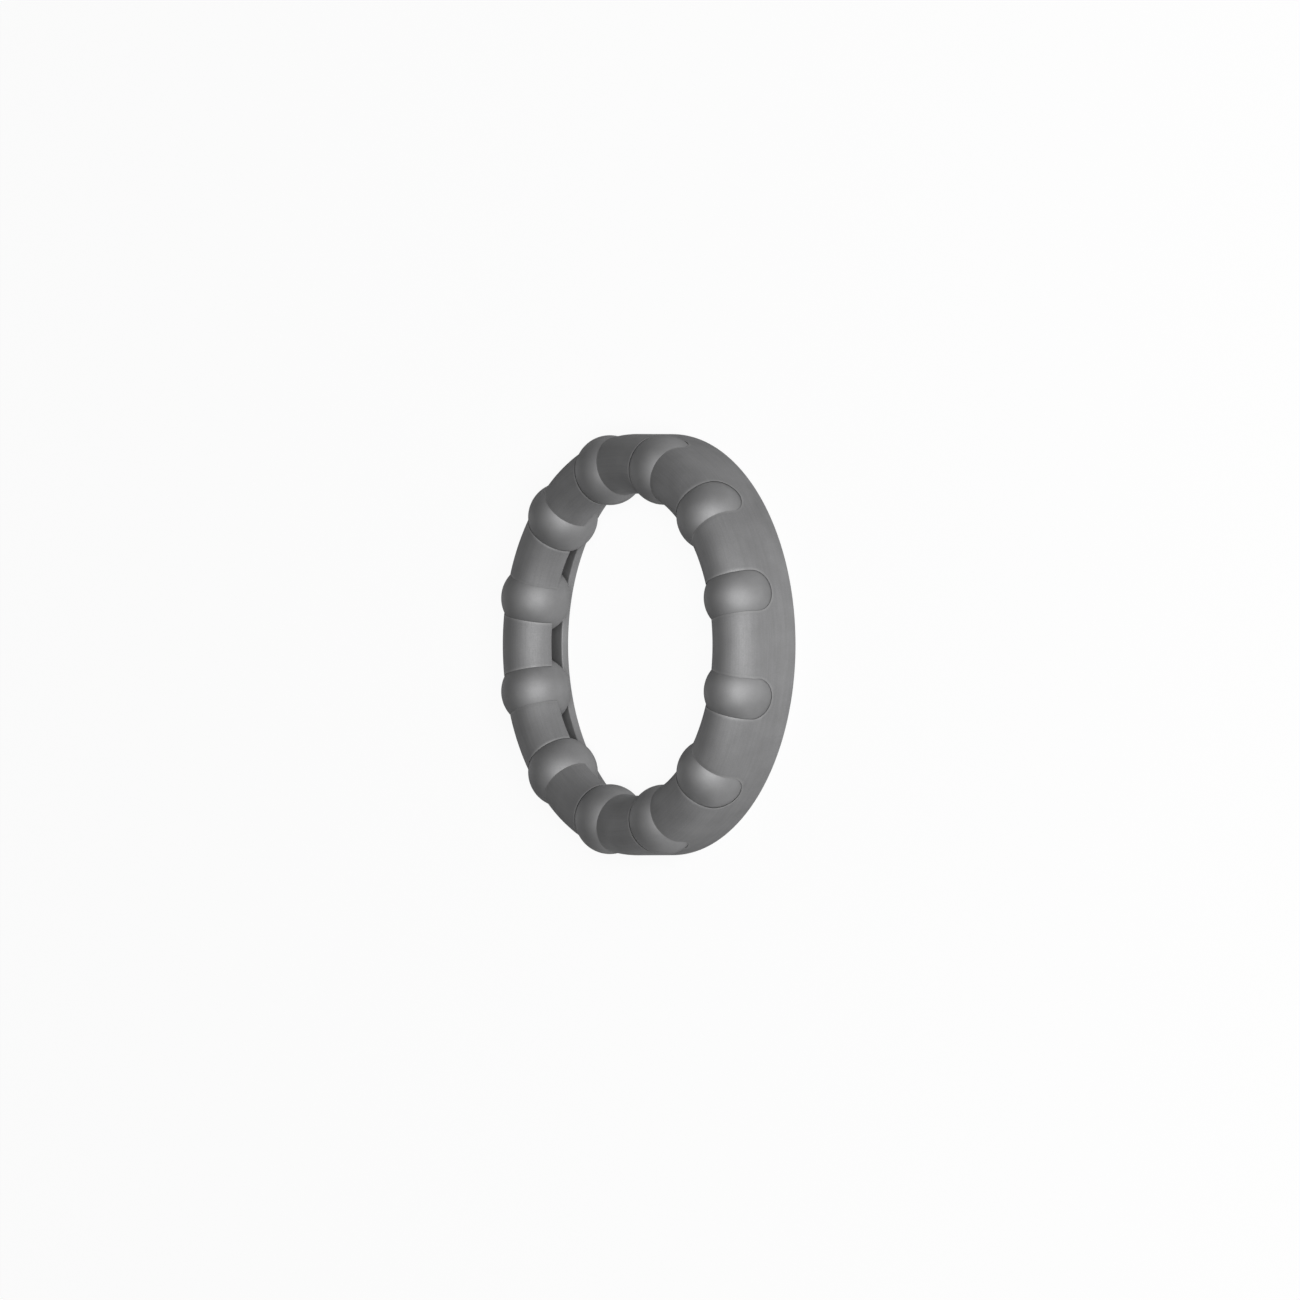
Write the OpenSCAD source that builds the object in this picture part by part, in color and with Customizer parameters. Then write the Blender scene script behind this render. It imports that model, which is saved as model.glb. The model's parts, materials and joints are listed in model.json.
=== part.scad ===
// Bearing separator: a pressed steel ring whose curled fingers keep the loose
// balls of a ball bearing an even distance apart.
//
// The ring's axis is Z. The back of its flange lies on Z = 0, and the curled
// front of the fingers, with the balls standing proud of them, faces +Z.
// All sizes are in millimetres.

/* [Balls] */
// Number of balls in the separator
ball_count = 12; // [6:1:13]
// Diameter of each ball, 3/8 inch
ball_d = 9.525; // [8:0.005:10.5]
// Diameter of the circle through the ball centres
pitch_d = 49.2; // [46:0.1:62]
// Running gap between a ball and the edges of the fingers around it
pocket_gap = 0.08; // [0.04:0.01:0.2]

/* [Ring] */
// Thickness of the pressed sheet
sheet_t = 1.16; // [0.8:0.02:1.6]
// How far each ball stands proud of the curl, at the front and at both sides
ball_proud = 0.7; // [0.3:0.05:1.2]
// Straight length of a fingertip, past the half-round curl
tip_length = 0.4; // [0.35:0.05:1]
// Radial width of the flange behind the balls, outer wall included
flange_w = 4.1; // [2.5:0.1:5]
// Gap that a ball's pocket keeps from the front of the flange
flange_gap = 0.05; // [0.02:0.01:0.3]
// Inside radius of the bend between the outer wall and the flange
bend_r = 0.4; // [0.2:0.05:0.6]
// Rounding of the sheet's free edges and of the outer corner
edge_r = 0.2; // [0.1:0.02:0.3]

/* [Hidden] */
ball_r = ball_d / 2;
pitch_r = pitch_d / 2;
pocket_r = ball_r + pocket_gap;

// The ring's section is drawn from the centre of a ball: X outwards from the
// circle of ball centres, Y along the axis from the plane of the ball centres
curl_r = ball_r - ball_proud;
curl_inside_r = curl_r - sheet_t;
flange_bore_x = curl_r - flange_w;
flange_front_y = -(pocket_r + flange_gap);
flange_back_y = flange_front_y - sheet_t;
tip_y = -tip_length;

// The flange's back lies on Z = 0
ball_z = -flange_back_y;

// The first ball lies half a step past the X axis, so a finger lies on it
full_turn = 360;
half_turn = full_turn / 2;
ball_step = full_turn / ball_count;

steel_grey = [0.60, 0.60, 0.60];
ball_grey = [0.62, 0.62, 0.63];
$fn = 96;

function ball_name(i) = str("ball_", i < 10 ? "0" : "", i);
function ball_angle(i) = (i - 0.5) * ball_step;

// Puts its children at the centre of ball i
module at_ball(i) {
    rotate([0, 0, ball_angle(i)])
        translate([pitch_r, 0, ball_z])
            children();
}

// The sheet's outer side, filled: the round of the curl, the fingertip below its
// inner end, the outer wall below its outer end, and the flange
module outer_form() {
    circle(curl_r);
    translate([-curl_r, tip_y])
        square([curl_r, tip_length]);
    translate([curl_inside_r - bend_r, flange_back_y])
        square([sheet_t + bend_r, ball_z]);
    translate([flange_bore_x, flange_back_y])
        square([flange_w, sheet_t]);
}

// The channel that the sheet is bent round, with the bend's inside radius
module channel_form() {
    circle(curl_inside_r);
    translate([-curl_inside_r, flange_front_y])
        square([curl_inside_r, -flange_front_y]);
    translate([0, flange_front_y])
        square([curl_inside_r - bend_r, -flange_front_y]);
    translate([0, flange_front_y + bend_r])
        square([curl_inside_r, -flange_front_y - bend_r]);
    translate([curl_inside_r - bend_r, flange_front_y + bend_r])
        circle(bend_r);
}

// The channel's open side, between the flange and the fingertips
module mouth_form() {
    translate([-curl_r, flange_front_y])
        square([curl_r, tip_y - flange_front_y]);
}

// What the rounding takes off a corner whose sheet lies towards +X and +Y
module corner_cut() {
    difference() {
        square(2 * edge_r, center = true);
        translate([edge_r, edge_r])
            circle(edge_r);
    }
}

// The rounding of the fingertip, of the flange's edge and of the outer corner
module edge_cuts() {
    translate([-curl_r, tip_y])
        corner_cut();
    translate([-curl_inside_r, tip_y])
        mirror([1, 0])
            corner_cut();
    translate([flange_bore_x, flange_back_y])
        corner_cut();
    translate([flange_bore_x, flange_front_y])
        mirror([0, 1])
            corner_cut();
    translate([curl_r, flange_back_y])
        mirror([1, 0])
            corner_cut();
}

// The ring's J-shaped section
module ring_section() {
    difference() {
        outer_form();
        channel_form();
        mouth_form();
        edge_cuts();
    }
}

// The room that a ball runs in, with its seam on the open inner side
module pocket() {
    rotate([0, 0, half_turn])
        sphere(pocket_r);
}

// The separator: the pressed ring, opened by a ball pocket between each two
// fingers
module separator_ring() {
    color(steel_grey)
        difference() {
            rotate_extrude()
                translate([pitch_r, ball_z])
                    ring_section();
            for (i = [1 : ball_count])
                at_ball(i)
                    pocket();
        }
}

// One of the loose balls
module ball(i) {
    color(ball_grey)
        at_ball(i)
            sphere(ball_r);
}

separator_ring();
for (i = [1 : ball_count])
    ball(i);
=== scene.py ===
import json
import math

import bpy
from mathutils import Matrix, Vector


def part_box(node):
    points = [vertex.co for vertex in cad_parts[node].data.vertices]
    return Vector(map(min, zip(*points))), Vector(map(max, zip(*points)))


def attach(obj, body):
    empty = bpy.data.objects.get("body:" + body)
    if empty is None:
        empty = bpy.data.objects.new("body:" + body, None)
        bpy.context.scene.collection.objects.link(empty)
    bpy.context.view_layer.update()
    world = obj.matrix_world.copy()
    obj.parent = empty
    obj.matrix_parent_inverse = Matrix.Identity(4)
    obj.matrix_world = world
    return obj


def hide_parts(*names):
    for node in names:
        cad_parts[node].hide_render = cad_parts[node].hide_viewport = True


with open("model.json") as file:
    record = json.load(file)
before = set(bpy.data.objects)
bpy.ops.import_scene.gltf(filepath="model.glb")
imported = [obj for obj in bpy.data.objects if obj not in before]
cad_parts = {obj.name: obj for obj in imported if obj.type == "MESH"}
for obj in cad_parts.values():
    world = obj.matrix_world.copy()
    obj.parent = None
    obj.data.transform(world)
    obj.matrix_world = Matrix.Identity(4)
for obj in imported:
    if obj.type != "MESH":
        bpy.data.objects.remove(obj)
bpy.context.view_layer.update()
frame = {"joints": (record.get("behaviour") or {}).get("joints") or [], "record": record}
scene = bpy.context.scene

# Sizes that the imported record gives, in metres
MM = 0.001
MOUNTS = {mount["name"]: mount for mount in frame["record"]["mounts"]}
INNER_TRACK_R = MOUNTS["inner_race"]["dims"]["r_mm"] * MM
OUTER_TRACK_R = MOUNTS["outer_race"]["dims"]["r_mm"] * MM
BALL_Z = MOUNTS["outer_race"]["pos_m"][2]
FLANGE_BORE_R = MOUNTS["flange_bore"]["dims"]["r_mm"] * MM
FLANGE_EDGE_FLAT = MOUNTS["flange_bore"]["dims"]["length_mm"] * MM
SHEET_T = 2 * MOUNTS["flange_bore"]["pos_m"][2]
RING_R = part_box("separator_ring")[1].x
BALL_COUNT = len(frame["joints"])

# Sizes of the pressing that the record leaves out
POCKET_GAP = 0.08 * MM
TIP_LENGTH = 0.4 * MM
BEND_R = 0.4 * MM
RIM_BEVEL = 0.05 * MM

# Sizes that follow from those above
BALL_R = (OUTER_TRACK_R - INNER_TRACK_R) / 2
PITCH_R = (OUTER_TRACK_R + INNER_TRACK_R) / 2
POCKET_R = BALL_R + POCKET_GAP
EDGE_R = (SHEET_T - FLANGE_EDGE_FLAT) / 2
CURL_R = RING_R - PITCH_R
CURL_INSIDE_R = CURL_R - SHEET_T
WALL_INSIDE_R = PITCH_R + CURL_INSIDE_R
WALL_MIDDLE_R = (RING_R + WALL_INSIDE_R) / 2
TIP_Z = BALL_Z - TIP_LENGTH
BALL_STEP = math.tau / BALL_COUNT
HALF_STEP = BALL_STEP / 2
QUARTER_TURN = math.pi / 2
WINDOW_CORNER = QUARTER_TURN / 2
RING_CENTRE = Vector((0, 0, BALL_Z))
POCKET_CENTRE = Vector((PITCH_R, 0, BALL_Z))

# How finely the pressing is divided, for half of one finger
FINGER_COLUMNS = 12
POCKET_COLUMNS = 5
RIM_SHARE = POCKET_COLUMNS / FINGER_COLUMNS
CURL_STEPS = 24
CORNER_STEPS = 4
WINDOW_STEPS = 6
TIP_STEPS = 3
RIM_SEGMENTS = 2
SHARP_ANGLE = math.radians(30)
SMOOTH_ANGLE = math.radians(35)

# How near two places count as one: in the mesh, in shares of a finger and at a fingertip's end
WELD = 0.002 * MM
SHARE_SLACK = 0.001
TIP_SLACK = 0.012 * MM
TIP_WELD = 0.1 * MM

# How finely a ball is divided along each side of the cube it is rounded from
BALL_CUTS = 31

# Both steels are mostly metal, with edges that turn dark
METAL_SHARE = 0.85
SPECULAR_LEVEL = 0.1
GRAZING_TINT = (0.14, 0.14, 0.14, 1)

# The pressed sheet: its patterns, greys and roughness
SHEET_CLOUD = {"size": 3.2 * MM, "detail": 4}
SHEET_GRAIN = {"size": 0.16 * MM, "detail": 3, "roughness": 0.6}
SHEET_LINES = {"size": 0.22 * MM, "detail": 3}
LINE_STRETCH = 0.03
CLOUD_IN_TONE = 0.6
LINES_IN_TONE = 0.4
LINES_IN_SURFACE = 0.6
SHEET_DARK = (0.285, 0.285, 0.288)
SHEET_LIGHT = (0.345, 0.345, 0.349)
SHEET_ROUGHNESS = (0.69, 0.79)
SHEET_BUMP = {"depth": 0.012 * MM, "strength": 0.35}

# The rims that the balls rub, lighter for rubbing wear and a painted highlight along the edges: how far the
# lighter band reaches, its grey, and its least and greatest share
RUB_AND_HIGHLIGHT_WIDTH = 0.22 * MM
RUBBED_AND_HIGHLIGHT_GREY = (0.44, 0.44, 0.44)
RUBBED_AND_HIGHLIGHT_SHARE = (0.25, 0.9)

# The balls: their patterns, greys and roughness
BALL_CLOUD = {"size": 2.4 * MM, "detail": 3}
BALL_LAPPING = {"size": 0.10 * MM, "detail": 2}
BALL_DARK = (0.312, 0.312, 0.315)
BALL_LIGHT = (0.350, 0.350, 0.354)
BALL_ROUGHNESS = (0.67, 0.75)
BALL_BUMP = {"depth": 0.006 * MM, "strength": 0.2}

# Most of a noise's values lie between these
NOISE_LOW = 0.3
NOISE_HIGH = 0.7

# Places of the colours among a Mix node's inputs and outputs
MIX_FIRST = 6
MIX_SECOND = 7
MIX_RESULT = 2

# The floor: its width, its paper as seen and in light that bounces, and its share of plain white
FLOOR_SIZE = 12.0
PAPER = 0.95
PAPER_IN_BOUNCES = 0.15
FLOOR_WHITE_SHARE = 0.93

# The picture: its width, the ring's place in it and the camera's angle from the ring's axis
PICTURE_PX = 1300
RING_CENTRE_PX = (637, 644.65)
MM_PER_PX = 0.13603
VIEW_FROM_AXIS = math.radians(54.5)
VIEW_RIGHT = Vector((math.cos(VIEW_FROM_AXIS), 0, -math.sin(VIEW_FROM_AXIS)))
VIEW_UP = Vector((0, 1, 0))
VIEW_BACK = Vector((math.sin(VIEW_FROM_AXIS), 0, math.cos(VIEW_FROM_AXIS)))
CAMERA_DISTANCE = 5.0
SENSOR_MM = 36

# The lamps: where they stand, their widths, and how bright they make a white surface that faces them
LAMP_DISTANCE = 1.0
KEY_SIZE = 0.4
KEY_LEVEL = 1.14
REAR_DIRECTION = Vector((-1, 0, 0.09))
REAR_SIZE = 0.18
REAR_LEVEL = 0.18
WORLD_LEVEL = 0.012


def deselect_all():
    if bpy.context.object and bpy.context.object.mode != "OBJECT":
        bpy.ops.object.mode_set(mode="OBJECT")
    bpy.ops.object.select_all(action="DESELECT")


def apply_modifier(piece, kind, **settings):
    modifier = piece.modifiers.new(kind.lower(), kind)
    for name, value in settings.items():
        setattr(modifier, name, value)
    bpy.context.view_layer.objects.active = piece
    bpy.ops.object.modifier_apply(modifier=modifier.name)


# The ring's outline, drawn in the XZ plane through the middle of a pocket


class Pen:
    """Draws an outline with the one selected vertex of a mesh in edit mode."""

    def __init__(self, x, z):
        self.x, self.z = x, z

    def line_to(self, x, z):
        shift = (x - self.x, 0, z - self.z)
        bpy.ops.mesh.extrude_region_move(TRANSFORM_OT_translate={"value": shift})
        self.x, self.z = x, z

    def arc(self, centre_x, centre_z, turn, steps):
        """A positive turn runs from +X towards +Z."""
        bpy.ops.mesh.spin(steps=steps, angle=turn, center=(centre_x, 0, centre_z), axis=(0, 1, 0))
        arm_x, arm_z = self.x - centre_x, self.z - centre_z
        self.x = centre_x + arm_x * math.cos(turn) - arm_z * math.sin(turn)
        self.z = centre_z + arm_x * math.sin(turn) + arm_z * math.cos(turn)


def window_reach(skin_r):
    """How far a pocket opens a wall that stands skin_r from the ball's centre."""
    return math.sqrt(POCKET_R ** 2 - skin_r ** 2)


def window_heights(skin_r):
    """Heights of the rows beside a window, from its lower corner up to the ball's centre."""
    for step in range(WINDOW_STEPS + 1):
        slant = WINDOW_CORNER + (QUARTER_TURN - WINDOW_CORNER) * step / WINDOW_STEPS
        yield BALL_Z - window_reach(skin_r) * math.cos(slant)


def start_outline(name, x, z):
    """A mesh of one vertex, left in edit mode for the pen."""
    deselect_all()
    bpy.ops.mesh.primitive_plane_add(size=SHEET_T, location=(x, 0, z))
    piece = bpy.context.object
    piece.name = name
    bpy.ops.object.transform_apply(location=True)
    bpy.ops.object.mode_set(mode="EDIT")
    bpy.ops.mesh.select_all(action="SELECT")
    bpy.ops.mesh.merge(type="CENTER")
    return piece


def draw_outer_side(pen):
    """The flange's back, the outer corner, the wall and the curl, to the fingertip."""
    corner_x = RING_R - EDGE_R
    pen.line_to(corner_x, 0)
    pen.arc(corner_x, EDGE_R, QUARTER_TURN, CORNER_STEPS)
    for height in window_heights(CURL_R):
        pen.line_to(RING_R, height)
    pen.arc(PITCH_R, BALL_Z, math.pi, CURL_STEPS)
    pen.line_to(PITCH_R - CURL_R, TIP_Z + EDGE_R)


def draw_fingertip(pen):
    outer_x = PITCH_R - CURL_R + EDGE_R
    inner_x = PITCH_R - CURL_INSIDE_R - EDGE_R
    pen.arc(outer_x, TIP_Z + EDGE_R, QUARTER_TURN, CORNER_STEPS)
    for step in range(1, TIP_STEPS + 1):
        pen.line_to(outer_x + (inner_x - outer_x) * step / TIP_STEPS, TIP_Z)
    pen.arc(inner_x, TIP_Z + EDGE_R, QUARTER_TURN, CORNER_STEPS)


def draw_inner_side(pen):
    """Back over the curl and down the wall to the bend, the flange's front and its edge."""
    pen.line_to(PITCH_R - CURL_INSIDE_R, BALL_Z)
    pen.arc(PITCH_R, BALL_Z, -math.pi, CURL_STEPS)
    for height in list(window_heights(CURL_INSIDE_R))[-2::-1]:
        pen.line_to(WALL_INSIDE_R, height)
    pen.line_to(WALL_INSIDE_R, SHEET_T + BEND_R)
    pen.arc(WALL_INSIDE_R - BEND_R, SHEET_T + BEND_R, -QUARTER_TURN, CORNER_STEPS)
    edge_x = FLANGE_BORE_R + EDGE_R
    pen.line_to(edge_x, SHEET_T)
    pen.arc(edge_x, SHEET_T - EDGE_R, QUARTER_TURN, CORNER_STEPS)
    pen.line_to(FLANGE_BORE_R, EDGE_R)
    pen.arc(edge_x, EDGE_R, QUARTER_TURN, CORNER_STEPS)


def draw_ring_outline():
    start_x = FLANGE_BORE_R + EDGE_R
    ring = start_outline("pressed_ring", start_x, 0)
    pen = Pen(start_x, 0)
    draw_outer_side(pen)
    draw_fingertip(pen)
    draw_inner_side(pen)
    bpy.ops.mesh.select_all(action="SELECT")
    bpy.ops.mesh.remove_doubles(threshold=WELD)
    return ring


# The pocket between two fingers, opened in half a ball's step of the ring


def skin_radius(radius):
    """The skin's distance from the ball's centre in the wall, at this radius of the ring."""
    return CURL_R if radius > WALL_MIDDLE_R else CURL_INSIDE_R


def wall_radius(radius):
    """The radius of the wall's side that this radius belongs to."""
    return RING_R if radius > WALL_MIDDLE_R else WALL_INSIDE_R


def pocket_reach(radius, height):
    """How far the pocket reaches to the side of its ball's centre, at this place in the ring's section."""
    return math.sqrt(max(0, POCKET_R ** 2 - (radius - PITCH_R) ** 2 - (height - BALL_Z) ** 2))


def angle_of_reach(radius, reach):
    """The angle round the ring that a pocket's reach takes up at this radius."""
    return 2 * math.asin(reach / (2 * math.sqrt(radius * PITCH_R)))


def window_corner_height(radius):
    return next(window_heights(skin_radius(radius)))


def place_of(point):
    """A point's radius, its share of the way from the ball to the finger's middle, and its height."""
    return math.hypot(point.x, point.y), math.atan2(point.y, point.x) / HALF_STEP, point.z


def in_flange(radius, height):
    """Whether a place is in the flange, inside the bend, where no pocket reaches."""
    return radius < WALL_INSIDE_R - BEND_R - WELD and height < TIP_Z - WELD


def cut_pocket(ring):
    """Takes out the faces in a pocket's way, up from the window's corner."""
    bpy.ops.mesh.select_all(action="DESELECT")
    bpy.ops.mesh.select_mode(type="FACE")
    bpy.ops.object.mode_set(mode="OBJECT")
    for face in ring.data.polygons:
        radius, share, height = place_of(face.center)
        face.select = share < RIM_SHARE and height > window_corner_height(radius)
    bpy.ops.object.mode_set(mode="EDIT")
    bpy.ops.mesh.delete(type="FACE")


def slide_to_pocket(ring):
    """Slides the vertices round the ring's axis, and along it under the window,
    until the rim of the cut lies on the pocket's sphere."""
    bpy.ops.object.mode_set(mode="OBJECT")
    for vertex in ring.data.vertices:
        radius, share, height = place_of(vertex.co)
        if in_flange(radius, height):
            continue
        corner_height = window_corner_height(radius)
        below_corner = height < corner_height - WELD
        # The columns of the wall stay upright down to its corner and bend
        column_r = wall_radius(radius) if below_corner else radius
        if share < RIM_SHARE - SHARE_SLACK:
            # The window's lower edge, from under the ball out to the window's corner
            slant = WINDOW_CORNER * share / RIM_SHARE
            window = window_reach(skin_radius(radius))
            angle = angle_of_reach(column_r, window * math.sin(slant))
            if not below_corner:
                height = BALL_Z - window * math.cos(slant)
        else:
            rim_height = max(height, corner_height)
            rim_angle = angle_of_reach(column_r, pocket_reach(column_r, rim_height))
            along_finger = (share - RIM_SHARE) / (1 - RIM_SHARE)
            angle = rim_angle + (HALF_STEP - rim_angle) * along_finger
        vertex.co = (radius * math.cos(angle), radius * math.sin(angle), height)
    bpy.ops.object.mode_set(mode="EDIT")


def on_pocket(point):
    return abs((point - POCKET_CENTRE).length - POCKET_R) < WELD


def push_onto_pocket(mesh):
    """Moves the selected vertices onto the pocket's sphere."""
    for vertex in mesh.vertices:
        if vertex.select:
            vertex.co = POCKET_CENTRE + (vertex.co - POCKET_CENTRE).normalized() * POCKET_R


def select_rim_edges(ring):
    """Selects the rim of the cut on both skins, without the fingertip's end between them."""
    bpy.ops.mesh.select_all(action="DESELECT")
    bpy.ops.mesh.select_mode(type="EDGE")
    bpy.ops.object.mode_set(mode="OBJECT")
    mesh = ring.data
    used = [0] * len(mesh.edges)
    for loop in mesh.loops:
        used[loop.edge_index] += 1
    for edge in mesh.edges:
        ends = [mesh.vertices[index].co for index in edge.vertices]
        under_tip = all(abs(end.z - TIP_Z) < WELD for end in ends)
        edge.select = used[edge.index] == 1 and all(map(on_pocket, ends)) and not under_tip
    bpy.ops.object.mode_set(mode="EDIT")


def line_pocket(ring):
    """Closes the cut between the two skins with a band that lies on the pocket's sphere."""
    select_rim_edges(ring)
    bpy.ops.mesh.bridge_edge_loops(number_cuts=TIP_STEPS - 1, interpolation="LINEAR")
    bpy.ops.object.mode_set(mode="OBJECT")
    push_onto_pocket(ring.data)
    for vertex in ring.data.vertices:
        vertex.select = on_pocket(vertex.co) and abs(vertex.co.z - TIP_Z) < TIP_SLACK
    bpy.ops.object.mode_set(mode="EDIT")
    bpy.ops.mesh.select_mode(type="VERT")
    bpy.ops.mesh.remove_doubles(threshold=TIP_WELD)


def repeat_round_ring(ring):
    """Mirrors the half finger, turns it to its place and repeats it for each ball."""
    bpy.ops.object.mode_set(mode="OBJECT")
    apply_modifier(ring, "MIRROR", use_axis=(False, True, False), merge_threshold=WELD)
    bpy.ops.object.mode_set(mode="EDIT")
    bpy.ops.mesh.select_all(action="SELECT")
    bpy.ops.transform.rotate(value=HALF_STEP, orient_axis="Z", center_override=(0, 0, 0))
    bpy.ops.mesh.spin(
        steps=BALL_COUNT - 1,
        dupli=True,
        angle=math.tau - BALL_STEP,
        center=(0, 0, 0),
        axis=(0, 0, 1),
    )
    bpy.ops.mesh.select_all(action="SELECT")
    bpy.ops.mesh.remove_doubles(threshold=WELD)
    bpy.ops.mesh.normals_make_consistent(inside=False)


def ease_rims():
    """Takes the sharpness off the pockets' rims."""
    bpy.ops.mesh.select_all(action="DESELECT")
    bpy.ops.mesh.select_mode(type="EDGE")
    bpy.ops.mesh.edges_select_sharp(sharpness=SHARP_ANGLE)
    bpy.ops.mesh.bevel(offset=RIM_BEVEL, segments=RIM_SEGMENTS)
    bpy.ops.object.mode_set(mode="OBJECT")


def model_pressed_ring():
    ring = draw_ring_outline()
    bpy.ops.mesh.spin(steps=FINGER_COLUMNS, angle=HALF_STEP, center=(0, 0, 0), axis=(0, 0, -1))
    cut_pocket(ring)
    slide_to_pocket(ring)
    line_pocket(ring)
    repeat_round_ring(ring)
    ease_rims()
    bpy.ops.object.shade_smooth_by_angle(angle=SMOOTH_ANGLE)
    apply_modifier(ring, "WEIGHTED_NORMAL", keep_sharp=True)
    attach(ring, "separator")
    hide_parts("separator_ring")
    return ring


# The balls


def model_ball():
    """A cube, divided and cast to a sphere, so that its faces are nearly even."""
    deselect_all()
    bpy.ops.mesh.primitive_cube_add(size=2 * BALL_R, location=(0, 0, 0))
    ball = bpy.context.object
    bpy.ops.object.mode_set(mode="EDIT")
    bpy.ops.mesh.select_all(action="SELECT")
    bpy.ops.mesh.subdivide(number_cuts=BALL_CUTS)
    bpy.ops.object.mode_set(mode="OBJECT")
    apply_modifier(ball, "CAST", factor=1, size=BALL_R, use_radius_as_size=False)
    bpy.ops.object.shade_smooth()
    return ball


def place_balls():
    """One ball in each pocket, on the joint that it turns on."""
    pattern = model_ball()
    balls = []
    for joint in frame["joints"]:
        deselect_all()
        pattern.select_set(True)
        bpy.context.view_layer.objects.active = pattern
        bpy.ops.object.duplicate(linked=False)
        ball = bpy.context.object
        ball.name = "bearing_" + joint["child"]
        ball.location = joint["pos_m"]
        bpy.ops.object.transform_apply(location=True)
        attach(ball, joint["child"])
        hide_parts(joint["child"])
        balls.append(ball)
    bpy.data.objects.remove(pattern)
    return balls


# Finishes


class Finish:
    """A material's node tree, with short ways to add and join its nodes."""

    def __init__(self, name):
        self.material = bpy.data.materials.new(name)
        self.material.use_nodes = True
        self.tree = self.material.node_tree
        self.shader = self.tree.nodes["Principled BSDF"]

    def node(self, kind, **settings):
        node = self.tree.nodes.new(kind)
        for name, value in settings.items():
            setattr(node, name, value)
        return node

    def join(self, source, target):
        self.tree.links.new(source, target)

    def dull_metal(self):
        """A metal whose edges turn dark instead of bright, as a tumbled or oiled one does."""
        self.shader.inputs["Metallic"].default_value = METAL_SHARE
        self.shader.inputs["Specular IOR Level"].default_value = SPECULAR_LEVEL
        self.shader.inputs["Specular Tint"].default_value = GRAZING_TINT

    def calc(self, operation, *values):
        """The result of a Math node for numbers and other nodes' outputs."""
        node = self.node("ShaderNodeMath", operation=operation)
        for socket, value in zip(node.inputs, values):
            if isinstance(value, (int, float)):
                socket.default_value = value
            else:
                self.join(value, socket)
        return node.outputs["Value"]

    def vector(self, *values):
        node = self.node("ShaderNodeCombineXYZ")
        for socket, value in zip(node.inputs, values):
            self.join(value, socket)
        return node.outputs["Vector"]

    def length(self, vector):
        node = self.node("ShaderNodeVectorMath", operation="LENGTH")
        self.join(vector, node.inputs[0])
        return node.outputs["Value"]

    def noise(self, vector, size, detail, roughness=0.5):
        """Noise whose features are about this size, in metres."""
        node = self.node("ShaderNodeTexNoise")
        node.inputs["Scale"].default_value = 1 / size
        node.inputs["Detail"].default_value = detail
        node.inputs["Roughness"].default_value = roughness
        self.join(vector, node.inputs["Vector"])
        return node.outputs["Fac"]

    def spread(self, value, low, high, start=NOISE_LOW, end=NOISE_HIGH):
        """Turns values from start to end into values from low to high."""
        node = self.node("ShaderNodeMapRange")
        limits = {"From Min": start, "From Max": end, "To Min": low, "To Max": high}
        for name, limit in limits.items():
            node.inputs[name].default_value = limit
        self.join(value, node.inputs["Value"])
        return node.outputs["Result"]

    def blend(self, factor, first, second):
        """A colour between two greys, or between a node's colour and a grey."""
        node = self.node("ShaderNodeMix", data_type="RGBA")
        self.join(factor, node.inputs["Factor"])
        for place, colour in ((MIX_FIRST, first), (MIX_SECOND, second)):
            if isinstance(colour, tuple):
                node.inputs[place].default_value = (*colour, 1)
            else:
                self.join(colour, node.inputs[place])
        return node.outputs[MIX_RESULT]

    def bump(self, height, depth, strength):
        node = self.node("ShaderNodeBump")
        node.inputs["Distance"].default_value = depth
        node.inputs["Strength"].default_value = strength
        self.join(height, node.inputs["Height"])
        self.join(node.outputs["Normal"], self.shader.inputs["Normal"])


class RingPlace:
    """A place on the ring's surface: its coordinates, its radius and its height from the balls' centres."""

    def __init__(self, finish, place):
        parts = finish.node("ShaderNodeSeparateXYZ")
        finish.join(place, parts.inputs["Vector"])
        self.x, self.y, z = parts.outputs
        squares = [finish.calc("MULTIPLY", side, side) for side in (self.x, self.y)]
        self.radius = finish.calc("SQRT", finish.calc("ADD", *squares))
        self.height = finish.calc("SUBTRACT", z, BALL_Z)


def drawing_lines(finish, spot):
    """Faint lines that run round the ring, closely spaced across its sheet."""
    outward = finish.calc("SUBTRACT", spot.radius, PITCH_R)
    # The turn round the section jumps at its open mouth, where there is no sheet
    rising = finish.calc("SUBTRACT", spot.height, outward)
    leaning = finish.calc("ADD", spot.height, outward)
    turn = finish.calc("ARCTAN2", rising, leaning)
    stretched = [finish.calc("MULTIPLY", side, LINE_STRETCH) for side in (spot.x, spot.y)]
    across = finish.calc("MULTIPLY", turn, CURL_R)
    return finish.noise(finish.vector(*stretched, across), **SHEET_LINES)


def rubbed_and_highlit_rims(finish, spot):
    """1 on the pockets' sides and rims, where the balls rub and a painted highlight lies along the edges,
    and 0 a short way from them.
    """
    turn = finish.calc("ARCTAN2", spot.y, spot.x)
    from_ball = finish.calc("SUBTRACT", HALF_STEP, finish.calc("PINGPONG", turn, HALF_STEP))
    towards = finish.calc("MULTIPLY", spot.radius, finish.calc("COSINE", from_ball))
    along = finish.calc("SUBTRACT", towards, PITCH_R)
    aside = finish.calc("MULTIPLY", spot.radius, finish.calc("SINE", from_ball))
    distance = finish.length(finish.vector(along, aside, spot.height))
    return finish.spread(distance, 1, 0, start=POCKET_R, end=POCKET_R + RUB_AND_HIGHLIGHT_WIDTH)


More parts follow.
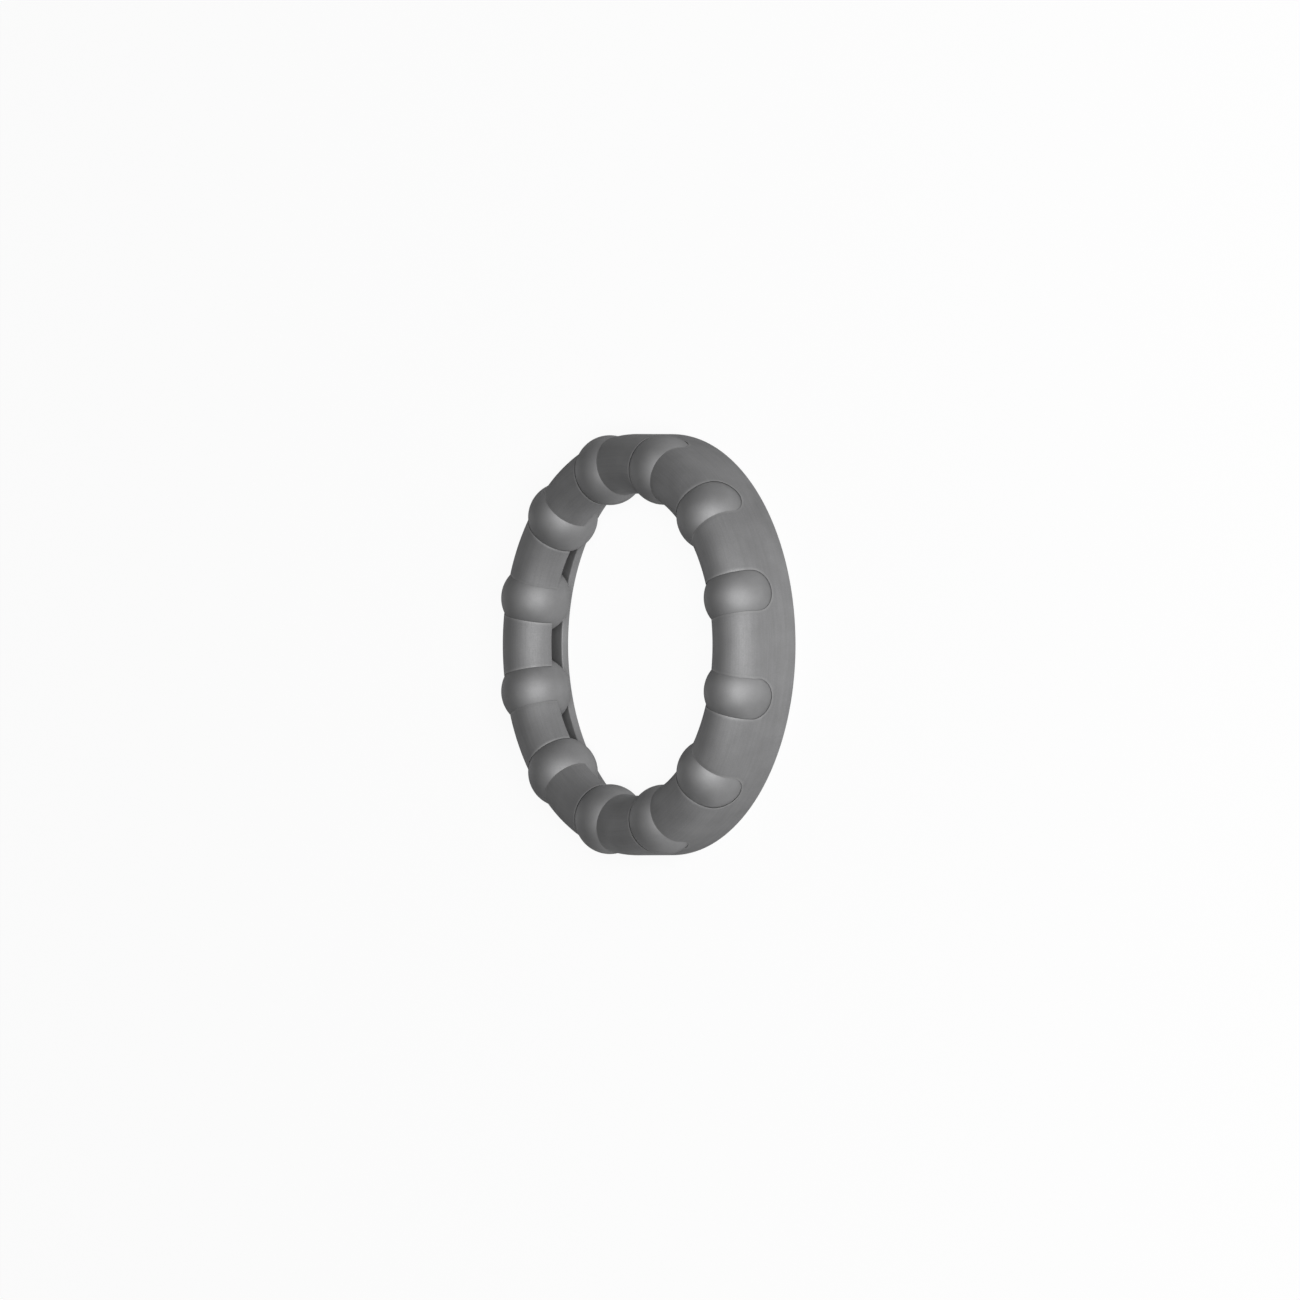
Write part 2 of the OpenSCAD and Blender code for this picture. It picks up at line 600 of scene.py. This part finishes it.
def pressed_steel():
    """Dull, tumbled sheet steel with faint drawing lines, and rims a little brighter for rubbing wear and a
    painted highlight.
    """
    finish = Finish("pressed_steel")
    place = finish.node("ShaderNodeTexCoord").outputs["Object"]
    spot = RingPlace(finish, place)
    cloud = finish.noise(place, **SHEET_CLOUD)
    grain = finish.noise(place, **SHEET_GRAIN)
    lines = drawing_lines(finish, spot)
    # The pockets' rims are lighter for rubbing wear and a painted edge highlight
    worn_and_highlit = finish.calc("MULTIPLY", rubbed_and_highlit_rims(finish, spot), finish.spread(cloud, *RUBBED_AND_HIGHLIGHT_SHARE))

    cloud_tone = finish.calc("MULTIPLY", cloud, CLOUD_IN_TONE)
    tone = finish.calc("ADD", cloud_tone, finish.calc("MULTIPLY", lines, LINES_IN_TONE))
    grey = finish.blend(finish.spread(tone, 0, 1), SHEET_DARK, SHEET_LIGHT)
    finish.join(finish.blend(worn_and_highlit, grey, RUBBED_AND_HIGHLIGHT_GREY), finish.shader.inputs["Base Color"])
    finish.join(finish.spread(grain, *SHEET_ROUGHNESS), finish.shader.inputs["Roughness"])
    finish.dull_metal()
    surface = finish.calc("ADD", grain, finish.calc("MULTIPLY", lines, LINES_IN_SURFACE))
    finish.bump(surface, **SHEET_BUMP)
    return finish.material


def ball_steel():
    """Ground and lapped bearing steel, smoother than the ring, with faint random lapping marks."""
    finish = Finish("ball_steel")
    place = finish.node("ShaderNodeTexCoord").outputs["Object"]
    cloud = finish.noise(place, **BALL_CLOUD)
    lapping = finish.noise(place, **BALL_LAPPING)
    grey = finish.blend(finish.spread(cloud, 0, 1), BALL_DARK, BALL_LIGHT)
    finish.join(grey, finish.shader.inputs["Base Color"])
    finish.join(finish.spread(lapping, *BALL_ROUGHNESS), finish.shader.inputs["Roughness"])
    finish.dull_metal()
    finish.bump(lapping, **BALL_BUMP)
    return finish.material


def set_finish(piece, material):
    piece.data.materials.clear()
    piece.data.materials.append(material)


# Floor, light and camera


def white_share(finish, rays):
    """How much plain white shows: none in light that bounces, and nearly all in what is seen."""
    seen = rays["Is Camera Ray"]
    for ray in ("Is Glossy Ray", "Is Transmission Ray"):
        seen = finish.calc("MAXIMUM", seen, rays[ray])
    return finish.calc("MULTIPLY", seen, FLOOR_WHITE_SHARE)


def floor_paper():
    """White to the camera and in reflections, with the object's soft shadow on it."""
    finish = Finish("pale_floor")
    rays = finish.node("ShaderNodeLightPath").outputs
    paper = finish.node("ShaderNodeBsdfDiffuse")
    tone = finish.spread(rays["Is Diffuse Ray"], PAPER, PAPER_IN_BOUNCES, start=0, end=1)
    finish.join(tone, paper.inputs["Color"])
    white = finish.node("ShaderNodeEmission")
    mix = finish.node("ShaderNodeMixShader")
    finish.join(white_share(finish, rays), mix.inputs["Fac"])
    finish.join(paper.outputs["BSDF"], mix.inputs[1])
    finish.join(white.outputs["Emission"], mix.inputs[2])
    finish.join(mix.outputs["Shader"], finish.tree.nodes["Material Output"].inputs["Surface"])
    finish.tree.nodes.remove(finish.shader)
    return finish.material


def pale_floor():
    deselect_all()
    bpy.ops.mesh.primitive_plane_add(size=FLOOR_SIZE, location=(0, 0, 0))
    floor = bpy.context.object
    floor.name = "floor"
    set_finish(floor, floor_paper())


def soft_light(name, direction, size, level):
    """A square soft light, under which a white surface that faces it renders at this level."""
    lamp = bpy.data.lights.new(name, "AREA")
    lamp.size = size
    lamp.energy = level * (math.pi * LAMP_DISTANCE) ** 2
    light = bpy.data.objects.new(name, lamp)
    scene.collection.objects.link(light)
    light.location = RING_CENTRE + direction.normalized() * LAMP_DISTANCE
    light.rotation_euler = direction.to_track_quat("Z", "Y").to_euler()


def light_studio():
    """A key light beside the camera, a low rear light and a faint even light all round."""
    soft_light("key", VIEW_BACK, KEY_SIZE, KEY_LEVEL)
    soft_light("rear", REAR_DIRECTION, REAR_SIZE, REAR_LEVEL)
    world = bpy.data.worlds.new("studio")
    world.use_nodes = True
    background = world.node_tree.nodes["Background"]
    background.inputs["Color"].default_value = (1, 1, 1, 1)
    background.inputs["Strength"].default_value = WORLD_LEVEL
    scene.world = world


def place_camera():
    """A long lens from the picture's angle, turned so that the ring's axis lies level in the picture."""
    picture_width = PICTURE_PX * MM_PER_PX * MM
    middle = PICTURE_PX / 2
    aside = (middle - RING_CENTRE_PX[0]) * MM_PER_PX * MM
    above = (RING_CENTRE_PX[1] - middle) * MM_PER_PX * MM
    target = RING_CENTRE + VIEW_RIGHT * aside + VIEW_UP * above
    camera = bpy.data.objects.new("camera", bpy.data.cameras.new("camera"))
    camera.data.sensor_width = SENSOR_MM
    camera.data.lens = SENSOR_MM * CAMERA_DISTANCE / picture_width
    axes = Matrix((VIEW_RIGHT, VIEW_UP, VIEW_BACK)).transposed()
    camera.matrix_world = Matrix.Translation(target + VIEW_BACK * CAMERA_DISTANCE) @ axes.to_4x4()
    scene.collection.objects.link(camera)
    scene.camera = camera


set_finish(model_pressed_ring(), pressed_steel())
ball_finish = ball_steel()
for ball in place_balls():
    set_finish(ball, ball_finish)
pale_floor()
light_studio()
place_camera()
scene.view_settings.view_transform = "Standard"
